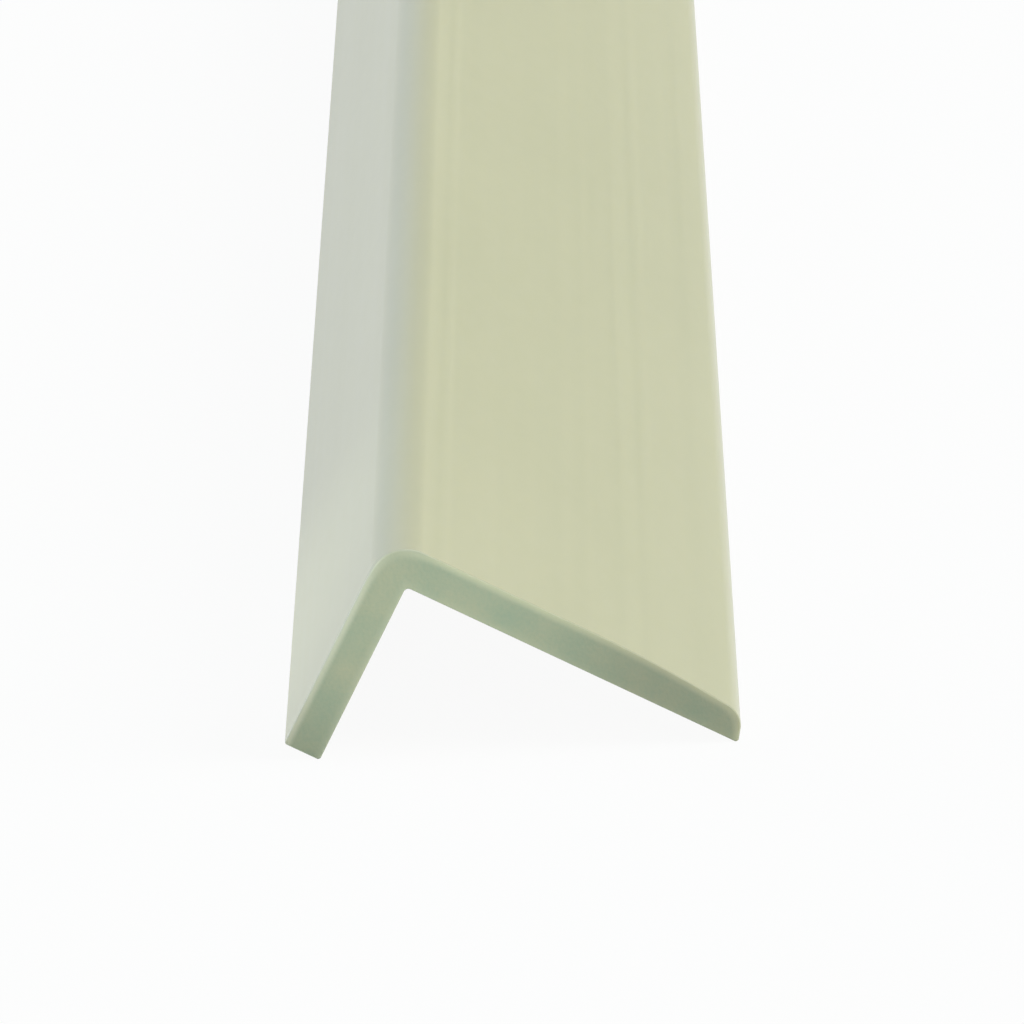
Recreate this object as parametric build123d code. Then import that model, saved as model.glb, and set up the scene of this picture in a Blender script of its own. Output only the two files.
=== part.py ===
from build123d import *
import os
from math import atan2, cos, degrees, radians, tan

# Outside-corner trim for wall panels: one length of extruded plastic angle.
# The section is drawn with the sharp outer corner at the origin, the long leg
# along +X and the short leg along -Y. It is extruded, sawn square at both ends
# and laid down as it rests: astride the floor on its two leg tips, rounded
# corner up, with its length along Y and the origin under its middle.

# Driving dimensions, in millimetres and degrees
LENGTH = 1219.2  # a 4 ft stock length
SHORT_LEG = 19.05  # outer corner to the square tip
LONG_LEG = 32.6  # outer corner to the toe of the leaning tip
WALL = 3.175  # both legs, where the faces are parallel
OUTER_RADIUS = 3.2  # the rounded corner that shows
INNER_RADIUS = 0.4  # between the two glued faces
CROWN_LENGTH = 14.7  # outer stretch of the long leg that curves towards the wall
CROWN_DROP = 0.85  # how far that curve falls by the shoulder of the tip
TIP_DRAFT = 17.0  # lean of the long leg's tip, so that its toe meets the wall first
TIP_RADIUS = 2.0  # shoulder between the crown and the tip
TIP_ROOM_USED = 0.9  # most of the tip's height that the shoulder may take
EDGE_RADIUS = 0.25  # die radius on the toe and on the short leg's two corners
CUT_EDGE = 0.15  # eased edge round both sawn ends

# Corners of the section before any is rounded
outer_corner = Vector(0, 0)
inner_corner = Vector(WALL, -WALL)
short_tip_outer = Vector(0, -SHORT_LEG)
short_tip_inner = Vector(WALL, -SHORT_LEG)
toe = Vector(LONG_LEG, -WALL)
tip_height = WALL - CROWN_DROP
shoulder = Vector(LONG_LEG - tip_height * tan(radians(TIP_DRAFT)), -CROWN_DROP)
crown_start = Vector(LONG_LEG - CROWN_LENGTH, 0)

# How far each rounding runs along the leaning tip, so that both fit there
toe_pull = EDGE_RADIUS * tan(radians((90 + TIP_DRAFT) / 2))
crown_fall = 2 * degrees(atan2(CROWN_DROP, shoulder.X - crown_start.X))
shoulder_turn = 90 - TIP_DRAFT - crown_fall
tip_room = TIP_ROOM_USED * (tip_height / cos(radians(TIP_DRAFT)) - toe_pull)
shoulder_radius = min(TIP_RADIUS, tip_room / tan(radians(shoulder_turn / 2)))


def rounded(section, corner, radius):
    """The section with its vertex nearest to that corner rounded."""
    return fillet(section.vertices().sort_by_distance(corner)[0], radius)


def trim_section():
    """The angle's outline: flat faces, a crowned long leg and rounded corners."""
    straight_sides = Polyline(
        crown_start, outer_corner, short_tip_outer, short_tip_inner, inner_corner, toe, shoulder
    )
    crown = TangentArc(crown_start, shoulder, tangent=(1, 0))
    section = make_face([straight_sides, crown])
    section = rounded(section, outer_corner, OUTER_RADIUS)
    section = rounded(section, inner_corner, INNER_RADIUS)
    section = rounded(section, shoulder, shoulder_radius)
    for corner in (toe, short_tip_inner, short_tip_outer):
        section = rounded(section, corner, EDGE_RADIUS)
    return section


def rest_tilt():
    """Degrees that the long leg slopes down when both leg tips touch the floor."""
    toe_centre = Vector(LONG_LEG - toe_pull, EDGE_RADIUS - WALL)
    short_tip_centre = Vector(WALL - EDGE_RADIUS, EDGE_RADIUS - SHORT_LEG)
    span = toe_centre - short_tip_centre
    return degrees(atan2(span.Y, span.X))


def corner_trim():
    """The sawn length, lying on the floor with the origin under its middle."""
    tilted = Plane.XZ * (Rot(Z=-rest_tilt()) * trim_section())
    stock = extrude(tilted, amount=LENGTH / 2, both=True)
    sawn_ends = stock.faces().sort_by(Axis.Y)
    stock = fillet(sawn_ends[0].edges() + sawn_ends[-1].edges(), CUT_EDGE)
    box = stock.bounding_box()
    return Pos(-box.center().X, 0, -box.min.Z) * stock


os.makedirs("parts", exist_ok=True)
export_step(corner_trim(), "parts/corner_trim.step")
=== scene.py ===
from math import atan2, ceil, cos, pi, radians, sin, sqrt, tan

import bpy
import numpy as np
from mathutils import Matrix, Vector


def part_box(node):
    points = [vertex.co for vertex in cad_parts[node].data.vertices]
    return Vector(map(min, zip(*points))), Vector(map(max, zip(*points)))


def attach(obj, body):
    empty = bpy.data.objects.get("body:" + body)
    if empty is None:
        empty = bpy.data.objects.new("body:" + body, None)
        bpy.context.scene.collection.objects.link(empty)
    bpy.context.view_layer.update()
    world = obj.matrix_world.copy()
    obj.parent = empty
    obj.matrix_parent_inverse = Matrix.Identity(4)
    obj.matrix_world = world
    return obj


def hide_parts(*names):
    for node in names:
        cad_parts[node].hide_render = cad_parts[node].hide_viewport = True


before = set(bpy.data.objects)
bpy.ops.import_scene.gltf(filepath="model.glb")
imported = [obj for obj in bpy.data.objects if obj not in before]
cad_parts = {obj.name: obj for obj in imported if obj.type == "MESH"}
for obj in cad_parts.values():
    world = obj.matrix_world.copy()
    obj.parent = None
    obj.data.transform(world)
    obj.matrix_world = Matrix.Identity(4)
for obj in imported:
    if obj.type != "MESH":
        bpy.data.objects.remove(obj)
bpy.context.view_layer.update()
trim_low, trim_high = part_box("corner_trim")

# Section of the trim, the same sizes as the solid, in metres
SHORT_LEG = 0.01905
LONG_LEG = 0.0326
WALL = 0.003175
OUTER_RADIUS = 0.0032
INNER_RADIUS = 0.0004
CROWN_LENGTH = 0.0147
CROWN_DROP = 0.00085
TIP_DRAFT = radians(17.0)
TIP_RADIUS = 0.002
EDGE_RADIUS = 0.00025
CUT_EDGE = 0.00015

# Fineness of the mesh
EDGE_STEP = radians(12.0)
CORNER_STEP = radians(2.0)
CROWN_STEP = radians(0.6)
CUT_STEPS = 6
FEWEST_STEPS = 4
RING_SPACING = 0.0254

# Layout of the bake map: the skin in rows beside each other, then both sawn ends, enlarged
MAP_ROWS = 4
MAP_GAP = 0.002
END_ENLARGED = 2.4

# Looks of the plastic: dark and light tones, least and most roughness, and the short leg's clear gloss
SKIN_COLOURS = ((0.617, 0.641, 0.422, 1), (0.663, 0.679, 0.462, 1))
SAWN_COLOURS = ((0.375, 0.455, 0.325, 1), (0.515, 0.52, 0.353, 1))
SKIN_ROUGHNESS = (0.33, 0.42)
SAWN_ROUGHNESS = (0.5, 0.65)
GLOSS = 0.45
GLOSS_ROUGHNESS = 0.22
IOR = 1.5
GLOW_THROUGH = 0.15
GLOW_THROUGH_RADIUS = (1.0, 0.9, 0.6)
GLOW_THROUGH_SCALE = 0.0006

# Painted shade on the long leg's shoulder, a darker and greyer tone that holds down the key lamp's light
# there: least and most, and how soon it fades where the toe turns under
SHOULDER_SHADE_COLOUR = (0.47, 0.49, 0.385, 1)
SHOULDER_SHADE_SHARES = (0.8, 1.0)
SHOULDER_SHADE_FADE = 4.0

# Sawn ends: the rim below the skin and the eased edge, on the long and the short leg.
# The rim is fainter round the outer corner and along the inner skin.
RIM_COLOURS = ((0.64, 0.65, 0.45, 1), (0.7, 0.705, 0.54, 1))
EDGE_COLOURS = ((0.46, 0.48, 0.33, 1), (0.87, 0.87, 0.74, 1))
RIM_DEPTH = 0.00075
CORNER_REACH = 0.005
CORNER_RIM = 0.4
INNER_RIM = 0.3
EDGE_SHARPNESS = 4.0

# Grain of each noise along X, Y and Z, in metres, and the range that its values mostly fill
DIE_LINES = (0.0008, 0.9, 0.0008)
MOTTLE = (0.03, 0.09, 0.03)
BLOTCH = (0.0016, 0.005, 0.0016)
PEEL = (0.0006, 0.0012, 0.0006)
CLOUD = (0.004, 0.004, 0.004)
SAW_GRAIN = (0.0003, 0.0003, 0.0003)
NOISE_DETAIL = 3.0
NOISE_LOW = 0.3
NOISE_HIGH = 0.7

# Share of the finer noise where two are mixed, and heights of relief in metres
BLOTCH_SHARE = 0.4
LINES_SHARE = 0.4
GRAIN_SHARE = 0.35
STREAK_LINES_SHARE = 0.6
PEEL_SHARE = 0.3
SKIN_RELIEF = 0.0000009
SAWN_RELIEF = 0.00002

# How far a smooth minimum reaches, in radii, to follow the rounded corner and the shoulder
CORNER_SOFTNESS = 1.76
SHOULDER_SOFTNESS = 0.97

# Camera, fitted to the photo's edges
LENS_MM = 421.9
SENSOR_MM = 36.0
CAMERA_DISTANCE = 0.95266
CAMERA_DOWN = radians(14.62)
CAMERA_TURN = radians(-0.726)
CAMERA_ROLL = radians(-2.635)
AIM_X = 0.000752
AIM_Z = 0.019707
CAMERA_SEES = 200.0

# Floor: its looks, its size, and the share of plain white in what the camera and reflections see of it
FLOOR_COLOUR = (0.79, 0.86, 0.84, 1)
FLOOR_ROUGHNESS = 0.9
FLOOR_GLOW = 0.94
FLOOR_HALF = 40.0

# Sky: soft light from all round, with a bright patch low behind on the left
SKY_HORIZON = 0.2
SKY_TOP = 0.5
SKY_COLOUR = (0.93, 0.975, 1.0, 1)
PATCH_FROM = Vector((-0.235, 0.97, 0.035)).normalized()
PATCH_STRENGTH = 0.8
PATCH_INSIDE = cos(radians(7.0))
PATCH_OUTSIDE = cos(radians(22.0))

# Lamps: a wide key from the right, a weaker one from the left, and two soft pools at the near end
SUN_ANGLE = radians(40.0)
KEY_FROM = Vector((0.84, -0.12, 0.53))
KEY_STRENGTH = 2.42
KEY_COLOUR = (1.0, 0.95, 0.92)
SIDE_FROM = Vector((-0.94, 0.3, 0.1))
SIDE_STRENGTH = 1.05
SIDE_COLOUR = (0.8, 0.87, 1.0)
SPOT_DISTANCE = 1.0
SPOT_LAMP_SIZE = 0.004
SPOT_BLEND = 1.0
END_POOL_AT = Vector((-0.0067, 0.0, 0.014))
END_POOL_FROM = Vector((-0.2, -0.97, 0.08))
END_POOL_RADIUS = 0.0192
END_POOL_STRENGTH = 0.23
END_POOL_COLOUR = (0.82, 1.0, 0.95)
LEG_POOL_AT = Vector((-0.016, 0.032, -0.038))
LEG_POOL_FROM = Vector((-1.0, 0.05, 0.12))
LEG_POOL_RADIUS = 0.06
LEG_POOL_STRENGTH = 0.32
LEG_POOL_COLOUR = (0.95, 1.0, 0.88)

# The crown's circle, the shoulder's circle inside it, and the tilt at which both leg tips touch the floor
toe_pull = EDGE_RADIUS * tan((pi / 2 + TIP_DRAFT) / 2)
tip_height = WALL - CROWN_DROP
crown_run = CROWN_LENGTH - tip_height * tan(TIP_DRAFT)
crown_radius = (crown_run**2 + CROWN_DROP**2) / (2 * CROWN_DROP)
crown_centre = np.array((LONG_LEG - CROWN_LENGTH, -crown_radius))
tip_normal = np.array((cos(TIP_DRAFT), sin(TIP_DRAFT)))
toe = np.array((LONG_LEG, -WALL))
shoulder_out = tip_normal @ (toe - crown_centre) - TIP_RADIUS
shoulder_rise = sqrt((crown_radius - TIP_RADIUS) ** 2 - shoulder_out**2)
shoulder_ray = shoulder_out * tip_normal + shoulder_rise * np.array((-sin(TIP_DRAFT), cos(TIP_DRAFT)))
shoulder_centre = crown_centre + shoulder_ray
crown_end = atan2(shoulder_ray[1], shoulder_ray[0])
tilt = atan2(SHORT_LEG - WALL, LONG_LEG - toe_pull - WALL + EDGE_RADIUS)
seat_turn = np.array(((cos(tilt), sin(tilt)), (-sin(tilt), cos(tilt))))


def arc(centre, radius, start, end, step=EDGE_STEP):
    """Points and outward normals on an arc. A rising angle is a hollow corner, whose normal points in."""
    count = max(FEWEST_STEPS, ceil(abs(end - start) / step))
    side = 1 if end < start else -1
    out = []
    for angle in np.linspace(start, end, count + 1):
        ray = np.array((cos(angle), sin(angle)))
        out.append((centre + radius * ray, side * ray))
    return out


def trim_outline():
    """The section's outline, clockwise from the short leg's tip, as points and their normals."""
    edge = EDGE_RADIUS
    hollow = WALL + INNER_RADIUS
    outline = arc((edge, edge - SHORT_LEG), edge, 1.5 * pi, pi)
    outline += arc((OUTER_RADIUS, -OUTER_RADIUS), OUTER_RADIUS, pi, pi / 2, CORNER_STEP)
    outline += arc(crown_centre, crown_radius, pi / 2, crown_end, CROWN_STEP)
    outline += arc(shoulder_centre, TIP_RADIUS, crown_end, TIP_DRAFT, CORNER_STEP)[1:]
    outline += arc((LONG_LEG - toe_pull, edge - WALL), edge, TIP_DRAFT, -pi / 2)
    outline += arc((hollow, -hollow), INNER_RADIUS, pi / 2, pi)
    outline += arc((WALL - edge, edge - SHORT_LEG), edge, 0, -pi / 2)
    return np.array([point for point, _ in outline]), np.array([normal for _, normal in outline])


seat = np.array((trim_low.x, trim_low.z)) - (trim_outline()[0] @ seat_turn.T).min(axis=0)


def trim_rings():
    """Rings from the near end to the far one: where each starts, and how far round the cut edge it is."""
    near, far = trim_low.y, trim_high.y
    quarter = np.linspace(0, pi / 2, CUT_STEPS + 1)
    count = round((far - near) / RING_SPACING)
    rings = [(near, 1, angle) for angle in quarter]
    rings += [(y, 0, pi / 2) for y in np.linspace(near, far, count + 1)[1:-1]]
    return rings + [(far, -1, angle) for angle in quarter[::-1]]


def bake_map(mesh, outline, rings):
    """A map named OFBake: the skin unrolled in rows, and the two sawn ends in the column beside them."""
    steps = np.linalg.norm(np.roll(outline, -1, axis=0) - outline, axis=1)
    around = np.concatenate(([0], np.cumsum(steps)))
    row_height = around[-1] + MAP_GAP
    side = MAP_ROWS * row_height
    near = trim_low.y
    row_length = (trim_high.y - near) / MAP_ROWS
    loops_uv = mesh.uv_layers.new(name="OFBake").data
    per_ring = len(outline)
    last_ring = len(rings) - 1
    for face in mesh.polygons:
        corners = [divmod(v, per_ring) for v in face.vertices]
        ring_numbers = [ring for ring, _ in corners]
        is_end = min(ring_numbers) == max(ring_numbers)
        middle = sum(mesh.vertices[v].co.y for v in face.vertices) / len(corners)
        row = min(int((middle - near) / row_length), MAP_ROWS - 1)
        # The strip that closes the ring ends on its first point, which is then a whole turn round
        wraps = {place for _, place in corners} == {0, per_ring - 1}
        for loop, vertex, (ring, place) in zip(face.loop_indices, face.vertices, corners):
            x, y, z = mesh.vertices[vertex].co
            if is_end:
                u = row_length + MAP_GAP + END_ENLARGED * (x - trim_low.x)
                v = END_ENLARGED * z + (side / 2 if ring == last_ring else 0)
            else:
                u = y - near - row * row_length
                v = row * row_height + around[per_ring if wraps and place == 0 else place]
            loops_uv[loop].uv = (u / side, v / side)


def add_weights(mesh, name, values):
    """A number for each point, for the material to read by that name."""
    mesh.attributes.new(name, "FLOAT", "POINT").data.foreach_set("value", values)


def make_trim(plastic):
    """The strip as one closed mesh: rings of the outline, eased at both cuts, and two flat ends."""
    points, normals = trim_outline()
    # Gloss where the skin faces the short leg's side, and painted shade where it faces the long leg's tip
    shine = GLOSS * np.clip(-normals[:, 0], 0, 1)
    painted_shade = np.clip(normals[:, 0], 0, 1) * np.clip(SHOULDER_SHADE_FADE * normals[:, 1], 0, 1)
    outline = points @ seat_turn.T + seat
    normals = normals @ seat_turn.T
    rings = trim_rings()
    per_ring = len(outline)
    places = []
    slopes = []
    cut = []
    gloss = []
    for start, inwards, angle in rings:
        inset = CUT_EDGE * (1 - sin(angle))
        y = start + inwards * CUT_EDGE * (1 - cos(angle))
        gloss += list(shine * (1 - cos(angle)))
        for (x, z), (nx, nz) in zip(outline, normals):
            places.append((x - inset * nx, y, z - inset * nz))
            slopes.append((sin(angle) * nx, -inwards * cos(angle), sin(angle) * nz))
            cut.append(cos(angle))
    faces = []
    for ring in range(len(rings) - 1):
        here, there = ring * per_ring, (ring + 1) * per_ring
        for place in range(per_ring):
            after = (place + 1) % per_ring
            faces.append((here + place, here + after, there + after, there + place))
    last = (len(rings) - 1) * per_ring
    faces.append(tuple(range(per_ring - 1, -1, -1)))
    faces.append(tuple(range(last, last + per_ring)))
    mesh = bpy.data.meshes.new("trim_strip")
    mesh.from_pydata(places, [], faces)
    mesh.materials.append(plastic)
    mesh.shade_smooth()
    add_weights(mesh, "cut", cut)
    add_weights(mesh, "gloss", gloss)
    # Weights of the painted shade on the shoulder, for the material to read
    add_weights(mesh, "painted_shoulder_shade", np.tile(painted_shade, len(rings)))
    bake_map(mesh, outline, rings)
    mesh.normals_split_custom_set_from_vertices(slopes)
    return put("trim_strip", mesh)


def add_node(tree, kind, inputs=None, **settings):
    """A new node with its settings, and its inputs linked or set."""
    made = tree.nodes.new(kind)
    for name, value in settings.items():
        setattr(made, name, value)
    for name, value in (inputs or {}).items():
        if isinstance(value, bpy.types.NodeSocket):
            tree.links.new(value, made.inputs[name])
        else:
            made.inputs[name].default_value = value
    return made


def stretched_noise(tree, grain):
    """A noise between 0 and 1 with that grain along X, Y and Z, in metres."""
    coords = add_node(tree, "ShaderNodeTexCoord").outputs["Object"]
    scale = tuple(1 / size for size in grain)
    moved = add_node(tree, "ShaderNodeMapping", {"Vector": coords, "Scale": scale})
    settings = {"Vector": moved.outputs[0], "Scale": 1.0, "Detail": NOISE_DETAIL}
    return add_node(tree, "ShaderNodeTexNoise", settings).outputs[0]


# The mix node's sockets go by number, because several of them have the same name
def weighted(tree, first, second, share):
    """Two values mixed, with that share of the second."""
    mixed = add_node(tree, "ShaderNodeMix", {0: share, 2: first, 3: second})
    return mixed.outputs[0]


def blended(tree, first, second, share):
    """Two colours mixed, with that share of the second."""
    mixed = add_node(tree, "ShaderNodeMix", {0: share, 6: first, 7: second}, data_type="RGBA")
    return mixed.outputs[2]


def maths(tree, operation, *values):
    """One step of arithmetic on numbers or on other nodes' values."""
    made = add_node(tree, "ShaderNodeMath", dict(enumerate(values)), operation=operation)
    return made.outputs[0]


def below(tree, point, normal):
    """Depth below the plane through that point of the section with that outward normal."""
    out_x, out_z = seat_turn @ normal
    level = (seat_turn @ point + seat) @ (out_x, out_z)
    place = add_node(tree, "ShaderNodeTexCoord").outputs["Object"]
    along = add_node(
        tree, "ShaderNodeVectorMath", {0: place, 1: (out_x, 0, out_z)}, operation="DOT_PRODUCT"
    )
    return maths(tree, "SUBTRACT", level, along.outputs["Value"])


def skin_depth(tree):
    """Depth below the outer skin and the inner one, and how much nearer the short leg's skin is."""
    short = below(tree, (0, 0), (-1, 0))
    flat = below(tree, (0, 0), (0, 1))
    tip = below(tree, toe, tip_normal)
    past = maths(tree, "MAXIMUM", maths(tree, "SUBTRACT", short, crown_centre[0]), 0.0)
    fall = maths(tree, "DIVIDE", maths(tree, "MULTIPLY", past, past), 2 * crown_radius)
    crowned = maths(tree, "SUBTRACT", flat, fall)
    corner = maths(tree, "SMOOTH_MIN", crowned, short, CORNER_SOFTNESS * OUTER_RADIUS)
    depth = maths(tree, "SMOOTH_MIN", corner, tip, SHOULDER_SOFTNESS * TIP_RADIUS)
    inner = maths(tree, "SUBTRACT", WALL, maths(tree, "MINIMUM", flat, short))
    return depth, inner, maths(tree, "SUBTRACT", flat, short)


def ranged(tree, value, old, new=(0.0, 1.0), interpolation="LINEAR"):
    """A value taken from its old range to a new one, and held there."""
    made = add_node(
        tree,
        "ShaderNodeMapRange",
        {"Value": value, "From Min": old[0], "From Max": old[1], "To Min": new[0], "To Max": new[1]},
        interpolation_type=interpolation,
    )
    return made.outputs[0]


def spread(tree, noise, limits):
    """A noise spread between two limits."""
    return ranged(tree, noise, (NOISE_LOW, NOISE_HIGH), limits)


def toned(tree, noise, colours):
    """A colour between the dark and the light tone, as the noise goes."""
    return blended(tree, *colours, spread(tree, noise, (0.0, 1.0)))


def new_material(name):
    """A new material, its node tree, and the inputs of its surface."""
    material = bpy.data.materials.new(name)
    material.use_nodes = True
    tree = material.node_tree
    return material, tree, tree.nodes["Principled BSDF"].inputs


def skin_looks(tree):
    """Colour, roughness and relief of the extruded faces: mottling, painted shade on the long leg's
    shoulder and faint lines from the die.
    """
    lines = stretched_noise(tree, DIE_LINES)
    mottle = stretched_noise(tree, MOTTLE)
    patchy = weighted(tree, mottle, stretched_noise(tree, BLOTCH), BLOTCH_SHARE)
    tone = toned(tree, weighted(tree, patchy, lines, LINES_SHARE), SKIN_COLOURS)
    painted_shade = add_node(tree, "ShaderNodeAttribute", attribute_name="painted_shoulder_shade").outputs["Fac"]
    painted_shade_share = maths(tree, "MULTIPLY", painted_shade, spread(tree, patchy, SHOULDER_SHADE_SHARES))
    streaks = weighted(tree, mottle, lines, STREAK_LINES_SHARE)
    height = weighted(tree, lines, stretched_noise(tree, PEEL), PEEL_SHARE)
    # Painted shade: a darker, greyer colour mixed in along the long leg's shoulder
    colour = blended(tree, tone, SHOULDER_SHADE_COLOUR, painted_shade_share)
    return colour, spread(tree, streaks, SKIN_ROUGHNESS), height


def sawn_looks(tree):
    """Colour, roughness and relief of the sawn ends: matt, greener, and paler just below the skin."""
    grain = stretched_noise(tree, SAW_GRAIN)
    tone = weighted(tree, stretched_noise(tree, CLOUD), grain, GRAIN_SHARE)
    depth, inner, shortward = skin_depth(tree)
    from_corner = maths(tree, "ABSOLUTE", shortward)
    rim_weight = ranged(tree, from_corner, (0.0, CORNER_REACH), (CORNER_RIM, 1.0))
    rim = ranged(tree, depth, (CUT_EDGE, RIM_DEPTH), (1.0, 0.0), "SMOOTHSTEP")
    inner_rim = ranged(tree, inner, (0.0, RIM_DEPTH), (INNER_RIM, 0.0), "SMOOTHSTEP")
    rim_share = maths(tree, "MAXIMUM", maths(tree, "MULTIPLY", rim, rim_weight), inner_rim)
    edge_share = ranged(tree, depth, (0.0, CUT_EDGE), (1.0, 0.0))
    short_share = ranged(tree, shortward, (-CORNER_REACH, CORNER_REACH))
    rim_colour = blended(tree, *RIM_COLOURS, short_share)
    edge_colour = blended(tree, *EDGE_COLOURS, short_share)
    rimmed = blended(tree, toned(tree, tone, SAWN_COLOURS), rim_colour, rim_share)
    colour = blended(tree, rimmed, edge_colour, edge_share)
    return colour, spread(tree, grain, SAWN_ROUGHNESS), grain


def plastic_material():
    """Satin extruded plastic with a clear gloss on the short leg, and its sawn ends."""
    material, tree, surface = new_material("trim_plastic")
    cut = add_node(tree, "ShaderNodeAttribute", attribute_name="cut").outputs["Fac"]
    sawn = maths(tree, "MINIMUM", maths(tree, "MULTIPLY", cut, EDGE_SHARPNESS), 1.0)
    skin_colour, skin_rough, skin_height = skin_looks(tree)
    sawn_colour, sawn_rough, sawn_height = sawn_looks(tree)
    skin_relief = add_node(tree, "ShaderNodeBump", {"Height": skin_height, "Distance": SKIN_RELIEF})
    relief = add_node(
        tree,
        "ShaderNodeBump",
        {
            "Height": sawn_height,
            "Strength": cut,
            "Distance": SAWN_RELIEF,
            "Normal": skin_relief.outputs[0],
        },
    )
    tree.links.new(blended(tree, skin_colour, sawn_colour, sawn), surface["Base Color"])
    tree.links.new(weighted(tree, skin_rough, sawn_rough, sawn), surface["Roughness"])
    tree.links.new(relief.outputs[0], surface["Normal"])
    gloss = add_node(tree, "ShaderNodeAttribute", attribute_name="gloss").outputs["Fac"]
    tree.links.new(gloss, surface["Coat Weight"])
    tree.links.new(skin_relief.outputs[0], surface["Coat Normal"])
    surface["Coat Roughness"].default_value = GLOSS_ROUGHNESS
    surface["IOR"].default_value = IOR
    surface["Subsurface Weight"].default_value = GLOW_THROUGH
    surface["Subsurface Radius"].default_value = GLOW_THROUGH_RADIUS
    surface["Subsurface Scale"].default_value = GLOW_THROUGH_SCALE
    return material


def floor_material():
    """A white floor that the camera and reflections see nearly evenly lit, with the shadow kept."""
    material, tree, surface = new_material("floor_white")
    surface["Base Color"].default_value = FLOOR_COLOUR
    surface["Roughness"].default_value = FLOOR_ROUGHNESS
    surface["Specular IOR Level"].default_value = 0.0
    path = add_node(tree, "ShaderNodeLightPath")
    seen = maths(tree, "MAXIMUM", path.outputs["Is Camera Ray"], path.outputs["Is Glossy Ray"])
    seen = maths(tree, "MAXIMUM", seen, path.outputs["Is Transmission Ray"])
    share = maths(tree, "MULTIPLY", seen, FLOOR_GLOW)
    glow = add_node(tree, "ShaderNodeEmission", {"Color": (1, 1, 1, 1), "Strength": 1.0})
    lit = tree.nodes["Principled BSDF"].outputs[0]
    mix = add_node(tree, "ShaderNodeMixShader", {0: share, 1: lit, 2: glow.outputs[0]})
    tree.links.new(mix.outputs[0], tree.nodes["Material Output"].inputs["Surface"])
    return material


def put(name, data):
    """A new object in the scene."""
    made = bpy.data.objects.new(name, data)
    bpy.context.scene.collection.objects.link(made)
    return made


def make_floor():
    """A wide floor for the strip to lie on."""
    mesh = bpy.data.meshes.new("floor")
    corners = [(x * FLOOR_HALF, y * FLOOR_HALF, 0) for x, y in ((-1, -1), (1, -1), (1, 1), (-1, 1))]
    mesh.from_pydata(corners, [], [(0, 1, 2, 3)])
    mesh.materials.append(floor_material())
    put("floor", mesh)


def make_sky():
    """Soft light from all round, brighter overhead, with a soft bright patch."""
    world = bpy.data.worlds.new("studio")
    bpy.context.scene.world = world
    world.use_nodes = True
    tree = world.node_tree
    ray = add_node(tree, "ShaderNodeTexCoord").outputs["Generated"]
    height = add_node(tree, "ShaderNodeSeparateXYZ", {0: ray}).outputs["Z"]
    sky = ranged(tree, height, (0.0, 1.0), (SKY_HORIZON, SKY_TOP))
    nearness = add_node(
        tree, "ShaderNodeVectorMath", {0: ray, 1: PATCH_FROM}, operation="DOT_PRODUCT"
    ).outputs["Value"]
    patch = ranged(
        tree, nearness, (PATCH_OUTSIDE, PATCH_INSIDE), (0.0, PATCH_STRENGTH), "SMOOTHSTEP"
    )
    background = tree.nodes["Background"].inputs
    tree.links.new(maths(tree, "ADD", sky, patch), background["Strength"])
    background["Color"].default_value = SKY_COLOUR


def make_sun(name, source, strength, colour):
    """A wide, soft lamp that shines from that direction everywhere."""
    light = bpy.data.lights.new(name, "SUN")
    light.energy = strength
    light.angle = SUN_ANGLE
    light.color = colour
    put(name, light).rotation_euler = source.to_track_quat("Z", "Y").to_euler()


def make_spot(name, place, source, radius, strength, colour):
    """A soft round pool of light at the near end. Its strength is how bright it makes a facing white."""
    light = bpy.data.lights.new(name, "SPOT")
    light.spot_size = 2 * atan2(radius, SPOT_DISTANCE)
    light.spot_blend = SPOT_BLEND
    light.shadow_soft_size = SPOT_LAMP_SIZE
    light.energy = strength * pi * (4 * pi * SPOT_DISTANCE**2)
    light.color = colour
    spot = put(name, light)
    ray = source.normalized()
    spot.location = place + Vector((0, trim_low.y, 0)) + SPOT_DISTANCE * ray
    spot.rotation_euler = ray.to_track_quat("Z", "Y").to_euler()


def make_camera():
    """The photo's long lens, looking along the strip and down onto its near end."""
    onward = Vector((sin(CAMERA_TURN), cos(CAMERA_TURN), 0))
    level = Vector((cos(CAMERA_TURN), -sin(CAMERA_TURN), 0))
    ahead = onward * cos(CAMERA_DOWN) - Vector((0, 0, sin(CAMERA_DOWN)))
    above = level.cross(ahead)
    right = level * cos(CAMERA_ROLL) + above * sin(CAMERA_ROLL)
    up = above * cos(CAMERA_ROLL) - level * sin(CAMERA_ROLL)
    data = bpy.data.cameras.new("camera")
    data.lens = LENS_MM
    data.sensor_width = SENSOR_MM
    data.clip_end = CAMERA_SEES
    camera = put("camera", data)
    turn = Matrix((right, up, -ahead)).transposed().to_4x4()
    aim = Vector((AIM_X, trim_low.y, AIM_Z))
    camera.matrix_world = Matrix.Translation(aim - CAMERA_DISTANCE * ahead) @ turn
    bpy.context.scene.camera = camera


trim = make_trim(plastic_material())
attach(trim, "root")
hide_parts("corner_trim")

make_floor()
make_sky()
make_sun("key", KEY_FROM, KEY_STRENGTH, KEY_COLOUR)
make_sun("side", SIDE_FROM, SIDE_STRENGTH, SIDE_COLOUR)
make_spot(
    "end_pool", END_POOL_AT, END_POOL_FROM, END_POOL_RADIUS, END_POOL_STRENGTH, END_POOL_COLOUR
)
make_spot(
    "leg_pool", LEG_POOL_AT, LEG_POOL_FROM, LEG_POOL_RADIUS, LEG_POOL_STRENGTH, LEG_POOL_COLOUR
)
make_camera()
bpy.context.scene.view_settings.view_transform = "Standard"
